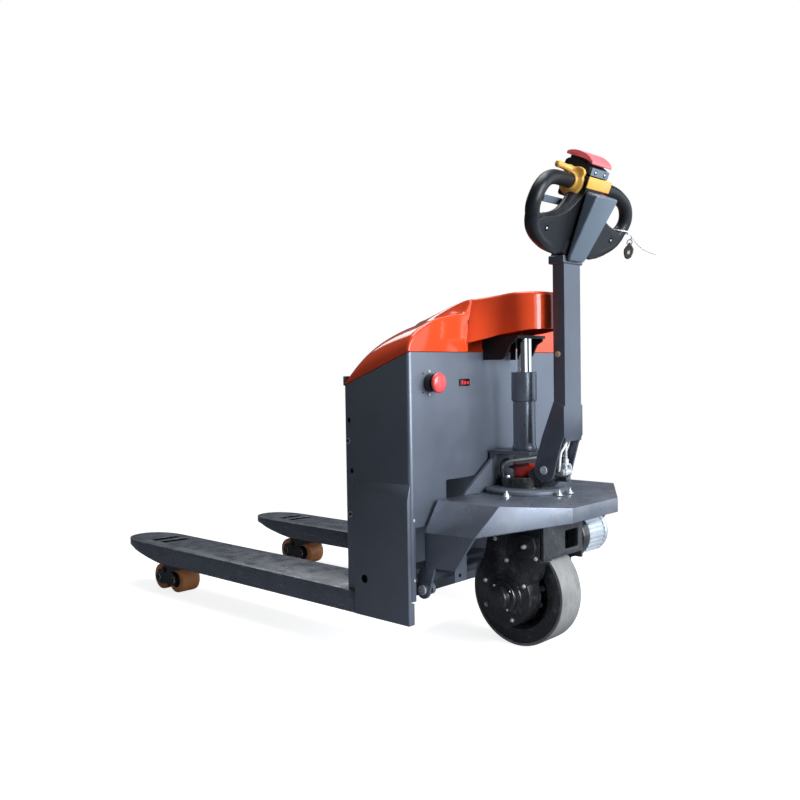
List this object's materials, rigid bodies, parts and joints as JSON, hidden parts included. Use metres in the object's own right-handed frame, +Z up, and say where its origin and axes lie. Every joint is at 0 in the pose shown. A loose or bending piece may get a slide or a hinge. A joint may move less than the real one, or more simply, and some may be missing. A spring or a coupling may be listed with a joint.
{
  "type": "electric pallet truck",
  "caption": "Pedestrian electric pallet truck: two forks on load rollers, a power box under a rounded cover, a steered drive wheel and a tiller with a looped control head.",
  "frame": {"origin": "on the floor, at the middle of the truck's length and width", "axes": "+X towards the operator and the tiller, +Y the operator's right when facing the forks, +Z up; the forks point along -X"},
  "size_m": [1.6144, 0.686, 1.1788],
  "materials": {
    "body_paint": "satin graphite-grey paint",
    "cover_red": "glossy orange-red moulding",
    "button_red": "satin red moulding",
    "black_metal": "gloss black paint",
    "black_plastic": "soft-touch charcoal moulding",
    "grey_plastic": "blue-grey moulding",
    "yellow_plastic": "warm yellow moulding",
    "zinc": "bright zinc-plated steel",
    "motor_plate": "mottled phosphated steel",
    "chrome": "hard-chromed rod",
    "motor_silver": "silver finned casting",
    "drive_tread": "worn light-grey polyurethane tread",
    "load_tread": "orange-brown polyurethane",
    "cable_black": "black cable sheath",
    "cable_white": "white cable sheath",
    "display_face": "dark red display window"
  },
  "bodies": {
    "chassis": {"chassis_apron": "body_paint", "mast_bracket": "body_paint", "steering_ring": "body_paint", "lift_cylinder": "body_paint", "cylinder_gland": "body_paint", "link_pin_left": "zinc", "link_pin_right": "zinc"},
    "fork_frame": {"fork_left": "body_paint", "fork_right": "body_paint", "power_box": "body_paint", "side_member_left": "body_paint", "side_member_right": "body_paint", "battery_tray": "body_paint", "battery_pack": "black_plastic", "hydraulic_power_pack": "black_plastic", "motor_controller": "motor_silver", "top_cover": "cover_red", "emergency_stop_collar": "black_plastic", "battery_display": "display_face", "lift_rod": "chrome", "rod_head_bracket": "black_metal"},
    "emergency_stop": {"emergency_stop_button": "button_red"},
    "torsion_shaft": {"torsion_shaft": "body_paint"},
    "drive_unit": {"turntable": "black_metal", "turntable_cap": "cover_red", "drive_bracket": "motor_plate", "gearbox": "black_metal", "hub_cap": "black_metal", "motor_flange": "black_metal", "drive_motor": "motor_silver", "tilt_pin": "zinc", "sensor_cable": "cable_black"},
    "drive_wheel": {"drive_tyre": "drive_tread", "drive_wheel_hub": "black_metal"},
    "tiller": {"tiller_arm": "body_paint", "tiller_cable": "cable_white", "control_head": "black_plastic", "head_rear_cover": "grey_plastic", "head_hub": "black_plastic", "head_band": "yellow_plastic", "head_face_plate": "grey_plastic", "cable_tie": "cable_white"},
    "gas_spring_rod": {"gas_spring_rod": "zinc"},
    "gas_spring_tube": {"gas_spring_tube": "black_plastic"},
    "belly_button": {"belly_button": "button_red"},
    "mode_button": {"mode_button": "button_red"},
    "lift_paddle": {"lift_paddle": "grey_plastic"},
    "ignition_key": {"ignition_key": "zinc"},
    "yoke_left": {"roller_yoke_left": "black_metal"},
    "bogie_left": {"bogie_left": "black_metal"},
    "push_rod_left": {"push_rod_left": "zinc"},
    "throttle_left": {"throttle_left": "yellow_plastic"},
    "roller_left_front": {"load_roller_left_front": "load_tread"},
    "roller_left_rear": {"load_roller_left_rear": "load_tread"},
    "yoke_right": {"roller_yoke_right": "black_metal"},
    "bogie_right": {"bogie_right": "black_metal"},
    "push_rod_right": {"push_rod_right": "zinc"},
    "throttle_right": {"throttle_right": "yellow_plastic"},
    "roller_right_front": {"load_roller_right_front": "load_tread"},
    "roller_right_rear": {"load_roller_right_rear": "load_tread"}
  },
  "joints": [
    {"name": "fork_lift", "type": "slide", "parent": "chassis", "child": "fork_frame", "axis": [0, 0, 1], "range_m": [-0.062, 0.054]},
    {"name": "emergency_stop_push", "type": "slide", "parent": "fork_frame", "child": "emergency_stop", "axis": [-1, 0, 0], "range_m": [0, 0.008]},
    {"name": "torsion_turn", "type": "hinge", "parent": "fork_frame", "child": "torsion_shaft", "pos_m": [0.3418, 0, 0.15], "axis": [0, 1, 0], "range_deg": [-23.5, 20.5]},
    {"name": "yoke_left_turn", "type": "hinge", "parent": "fork_frame", "child": "yoke_left", "pos_m": [-0.4432, -0.26, 0.114], "axis": [0, 1, 0], "range_deg": [-20.3, 23.3]},
    {"name": "bogie_left_turn", "type": "hinge", "parent": "yoke_left", "child": "bogie_left", "pos_m": [-0.5922, -0.26, 0.068], "axis": [0, 1, 0], "range_deg": [-23.3, 20.3]},
    {"name": "push_rod_left_slide", "type": "slide", "parent": "fork_frame", "child": "push_rod_left", "axis": [1, 0, 0], "range_m": [-0.0072, 0.0083]},
    {"name": "roller_left_front_spin", "type": "hinge", "parent": "bogie_left", "child": "roller_left_front", "pos_m": [-0.6322, -0.26, 0.04], "axis": [0, 1, 0], "continuous": true},
    {"name": "roller_left_rear_spin", "type": "hinge", "parent": "bogie_left", "child": "roller_left_rear", "pos_m": [-0.5522, -0.26, 0.04], "axis": [0, 1, 0], "continuous": true},
    {"name": "yoke_right_turn", "type": "hinge", "parent": "fork_frame", "child": "yoke_right", "pos_m": [-0.4432, 0.26, 0.114], "axis": [0, 1, 0], "range_deg": [-20.3, 23.3]},
    {"name": "bogie_right_turn", "type": "hinge", "parent": "yoke_right", "child": "bogie_right", "pos_m": [-0.5922, 0.26, 0.068], "axis": [0, 1, 0], "range_deg": [-23.3, 20.3]},
    {"name": "push_rod_right_slide", "type": "slide", "parent": "fork_frame", "child": "push_rod_right", "axis": [1, 0, 0], "range_m": [-0.0072, 0.0083]},
    {"name": "roller_right_front_spin", "type": "hinge", "parent": "bogie_right", "child": "roller_right_front", "pos_m": [-0.6322, 0.26, 0.04], "axis": [0, 1, 0], "continuous": true},
    {"name": "roller_right_rear_spin", "type": "hinge", "parent": "bogie_right", "child": "roller_right_rear", "pos_m": [-0.5522, 0.26, 0.04], "axis": [0, 1, 0], "continuous": true},
    {"name": "steering", "type": "hinge", "parent": "chassis", "child": "drive_unit", "pos_m": [0.5598, 0, 0.4], "axis": [0, 0, 1], "range_deg": [-90, 90]},
    {"name": "drive_wheel_spin", "type": "hinge", "parent": "drive_unit", "child": "drive_wheel", "pos_m": [0.5598, 0, 0.132], "axis": [0, 1, 0], "continuous": true},
    {"name": "tiller_tilt", "type": "hinge", "parent": "drive_unit", "child": "tiller", "pos_m": [0.6418, 0, 0.437], "axis": [0, 1, 0], "range_deg": [0, 80], "stiffness_Nm_per_rad": 40, "springref_deg": -20.05},
    {"name": "gas_spring_swing", "type": "hinge", "parent": "drive_unit", "child": "gas_spring_rod", "pos_m": [0.6768, 0, 0.432], "axis": [0, 1, 0], "range_deg": [0, 84.6]},
    {"name": "gas_spring_stroke", "type": "slide", "parent": "gas_spring_rod", "child": "gas_spring_tube", "axis": [0.0027, 0, 1], "range_m": [-0.0424, 0]},
    {"name": "throttle_left_turn", "type": "hinge", "parent": "tiller", "child": "throttle_left", "pos_m": [0.72727, -0.05, 1.10564], "axis": [0, 1, 0], "range_deg": [-28, 28], "stiffness_Nm_per_rad": 0.6},
    {"name": "throttle_right_turn", "type": "hinge", "parent": "tiller", "child": "throttle_right", "pos_m": [0.72727, 0.05, 1.10564], "axis": [0, 1, 0], "range_deg": [-28, 28], "stiffness_Nm_per_rad": 0.6},
    {"name": "belly_button_push", "type": "slide", "parent": "tiller", "child": "belly_button", "axis": [-0.3955, 0, -0.9184], "range_m": [0, 0.006], "stiffness_N_per_m": 900, "springref_m": -0.002},
    {"name": "mode_button_push", "type": "slide", "parent": "tiller", "child": "mode_button", "axis": [-0.3955, 0, -0.9184], "range_m": [0, 0.0015], "stiffness_N_per_m": 800, "springref_m": -0.0005},
    {"name": "lift_paddle_turn", "type": "hinge", "parent": "tiller", "child": "lift_paddle", "pos_m": [0.6925, 0, 1.04767], "axis": [0, 1, 0], "range_deg": [-12, 12], "stiffness_Nm_per_rad": 0.8},
    {"name": "ignition_key_swing", "type": "hinge", "parent": "tiller", "child": "ignition_key", "pos_m": [0.7348, 0.2225, 0.999], "axis": [1, 0, 0], "range_deg": [-40, 40]}
  ],
  "couplings": [
    {"joint": "torsion_turn", "follows": "fork_lift", "rad_per_m": 6.56},
    {"joint": "yoke_left_turn", "follows": "fork_lift", "rad_per_m": -6.503},
    {"joint": "bogie_left_turn", "follows": "fork_lift", "rad_per_m": 6.503},
    {"joint": "push_rod_left_slide", "follows": "fork_lift", "ratio": -0.13},
    {"joint": "yoke_right_turn", "follows": "fork_lift", "rad_per_m": -6.503},
    {"joint": "bogie_right_turn", "follows": "fork_lift", "rad_per_m": 6.503},
    {"joint": "push_rod_right_slide", "follows": "fork_lift", "ratio": -0.13},
    {"joint": "gas_spring_swing", "follows": "tiller_tilt", "ratio": 1.055},
    {"joint": "gas_spring_stroke", "follows": "tiller_tilt", "m_per_rad": -0.0302},
    {"joint": "throttle_right_turn", "follows": "throttle_left_turn", "ratio": 1}
  ]
}
